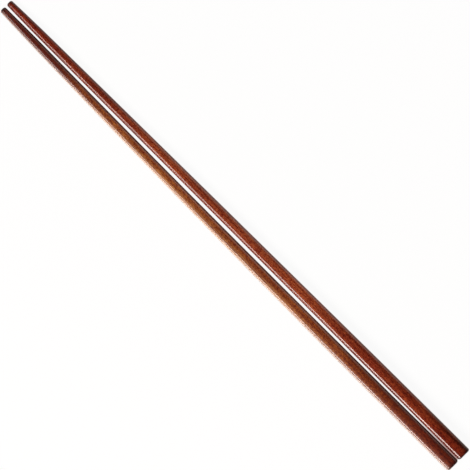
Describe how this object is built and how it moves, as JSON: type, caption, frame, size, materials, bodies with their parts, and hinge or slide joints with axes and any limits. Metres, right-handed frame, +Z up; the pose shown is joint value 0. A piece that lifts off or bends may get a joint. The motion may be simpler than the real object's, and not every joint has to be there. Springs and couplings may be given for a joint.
{
  "type": "pair of wooden chopsticks",
  "caption": "Pair of long lacquered wooden chopsticks for cooking and frying, each tapering from a rounded square handle to a round blunt tip, lying side by side.",
  "frame": {"origin": "on the surface the chopsticks lie on, below the middle of the pair", "axes": "+X along the pair from the handles to the tips, +Y across it to the left, +Z up"},
  "size_m": [0.42, 0.0203, 0.01],
  "materials": {
    "lacquered_wood": "gloss clear lacquer over a dark red-brown wood"
  },
  "bodies": {
    "root": {"left_chopstick": "lacquered_wood", "right_chopstick": "lacquered_wood"}
  },
  "joints": []
}
